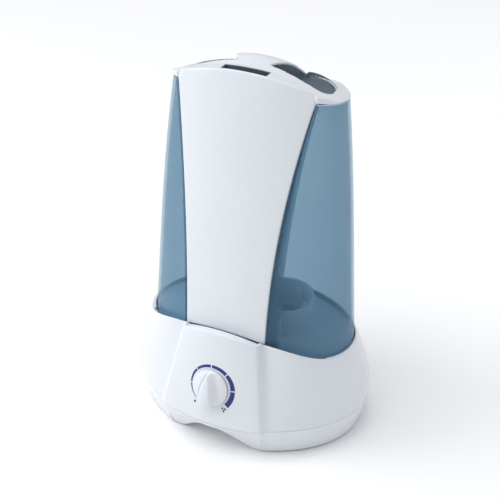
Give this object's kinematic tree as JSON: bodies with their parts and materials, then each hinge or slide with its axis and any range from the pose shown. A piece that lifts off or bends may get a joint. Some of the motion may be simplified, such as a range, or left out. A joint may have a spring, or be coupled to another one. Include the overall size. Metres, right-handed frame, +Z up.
{
  "type": "cool mist humidifier",
  "caption": "Free-standing ultrasonic cool mist humidifier: white base with a dial, lift-off blue tank with a white mist tower, carry-handle cap and valve.",
  "frame": {"origin": "on the floor, in the middle of the outer box", "axes": "+X to the object's right seen from the front, -Y towards the front with the dial, +Z up"},
  "size_m": [0.244, 0.1933, 0.36],
  "materials": {
    "white_shell": "glossy",
    "tank_blue": "glossy",
    "slate": "satin",
    "rubber": "matte",
    "grey_plastic": "satin",
    "steel": "satin",
    "brass": "satin",
    "board": "satin",
    "winding": "satin",
    "aluminium": "satin",
    "seal": "matte",
    "white_foam": "matte"
  },
  "bodies": {
    "base": {"base_shell": "white_shell", "bottom_cover": "white_shell", "rubber_feet": "rubber", "housing_screws": "steel", "cord_grommet": "rubber", "potentiometer_body": "slate", "pot_nut": "steel", "control_board": "board", "basin": "white_shell", "transducer_gasket": "seal", "transducer_disc": "steel", "transducer_retainer": "brass", "retainer_screws": "steel", "float_clip": "grey_plastic", "reed_sensor": "slate", "fan_housing": "slate", "fan_screws": "steel", "air_duct": "grey_plastic", "driver_board": "board", "heat_sink": "aluminium", "board_screws": "steel", "transformer_core": "steel", "transformer_winding": "winding", "transformer_screws": "steel"},
    "knob": {"control_knob": "white_shell", "pot_shaft": "steel"},
    "fan": {"fan_impeller": "slate", "fan_shaft": "steel"},
    "float": {"float": "white_foam"},
    "tank": {"tank_body": "tank_blue", "tank_floor": "tank_blue", "tower_front": "white_shell", "mist_nozzle": "slate", "top_cap": "white_shell"},
    "filler_cap": {"tank_cap": "slate", "cap_gasket": "seal", "valve_spring": "steel"},
    "valve": {"valve_plunger": "grey_plastic", "valve_seal": "seal"}
  },
  "joints": [
    {"name": "tank_lift", "type": "slide", "parent": "base", "child": "tank", "axis": [0, 0, 1], "range_m": [0, 0.08]},
    {"name": "knob_turn", "type": "hinge", "parent": "base", "child": "knob", "pos_m": [0, -0.07706, 0.0684], "axis": [0, -0.9677, 0.2521], "range_deg": [-135, 135]},
    {"name": "fan_spin", "type": "hinge", "parent": "base", "child": "fan", "pos_m": [-0.07, 0.003, 0.016], "axis": [0, 0, 1], "continuous": true},
    {"name": "float_rise", "type": "slide", "parent": "base", "child": "float", "axis": [0, 0, 1], "range_m": [0, 0.005]},
    {"name": "cap_unscrew", "type": "hinge", "parent": "tank", "child": "filler_cap", "pos_m": [0.025, 0.027, 0.08], "axis": [0, 0, 1], "range_deg": [0, 360]},
    {"name": "valve_open", "type": "slide", "parent": "filler_cap", "child": "valve", "axis": [0, 0, 1], "range_m": [0, 0.005], "stiffness_N_per_m": 150, "springref_m": -0.002, "deforming": ["valve_spring"]}
  ]
}
